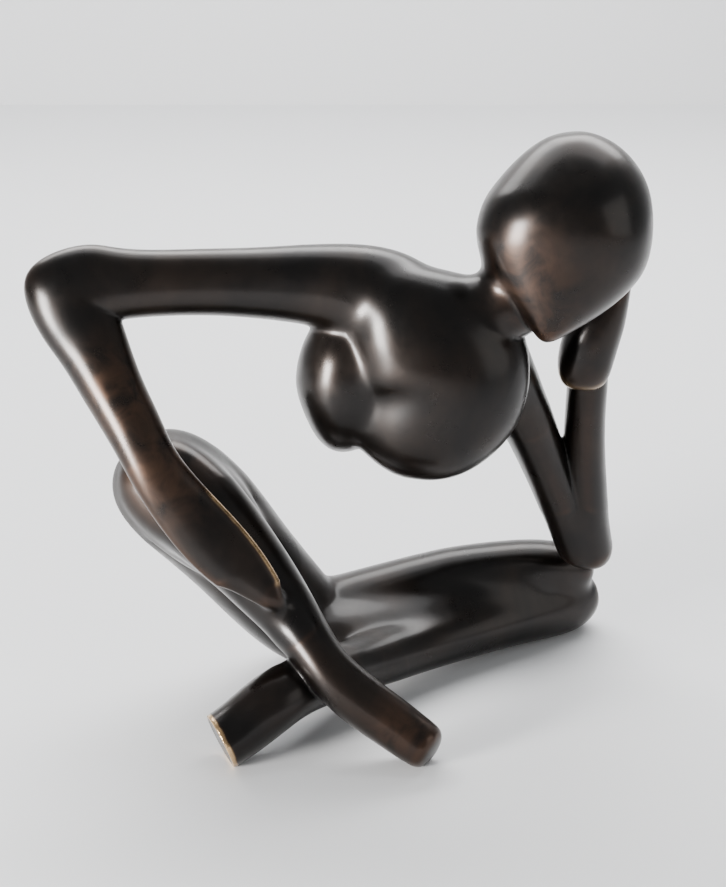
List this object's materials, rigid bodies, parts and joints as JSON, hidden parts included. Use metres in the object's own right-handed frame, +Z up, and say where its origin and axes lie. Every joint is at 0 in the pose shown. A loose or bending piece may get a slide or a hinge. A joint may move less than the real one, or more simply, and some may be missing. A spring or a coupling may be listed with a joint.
{
  "type": "bronze statuette",
  "caption": "Abstract faceless seated figure in dark bronze: egg head resting on one raised hand, other arm bent out to a sharp elbow, crossed legs, open space under the torso.",
  "frame": {"origin": "middle of the bounding box at the level of the rest faces", "axes": "+X towards the figure's left knee, -Y out of the figure's front, +Z up"},
  "size_m": [0.2518, 0.1529, 0.2433],
  "materials": {
    "patinated_bronze": "cast bronze, chased, dark brown-black patina with a waxed satin gloss and warm worn high spots",
    "turned_bronze": "drawn bronze rod, bare, hidden inside the joints"
  },
  "bodies": {
    "root": {"head": "patinated_bronze", "torso": "patinated_bronze", "right_upper_arm": "patinated_bronze", "right_forearm": "patinated_bronze", "left_upper_arm": "patinated_bronze", "left_forearm": "patinated_bronze", "left_hand": "patinated_bronze", "right_thigh": "patinated_bronze", "left_thigh": "patinated_bronze", "right_shin": "patinated_bronze", "left_shin": "patinated_bronze", "left_wrist_dowel": "turned_bronze", "left_elbow_dowel": "turned_bronze", "elbow_knee_dowel": "turned_bronze", "right_knee_dowel": "turned_bronze", "left_knee_dowel": "turned_bronze", "shin_dowel": "turned_bronze", "right_hand_dowel": "turned_bronze", "left_hand_dowel": "turned_bronze", "right_shoulder_pin": "turned_bronze", "right_elbow_pin": "turned_bronze", "hip_pin": "turned_bronze"}
  },
  "joints": []
}
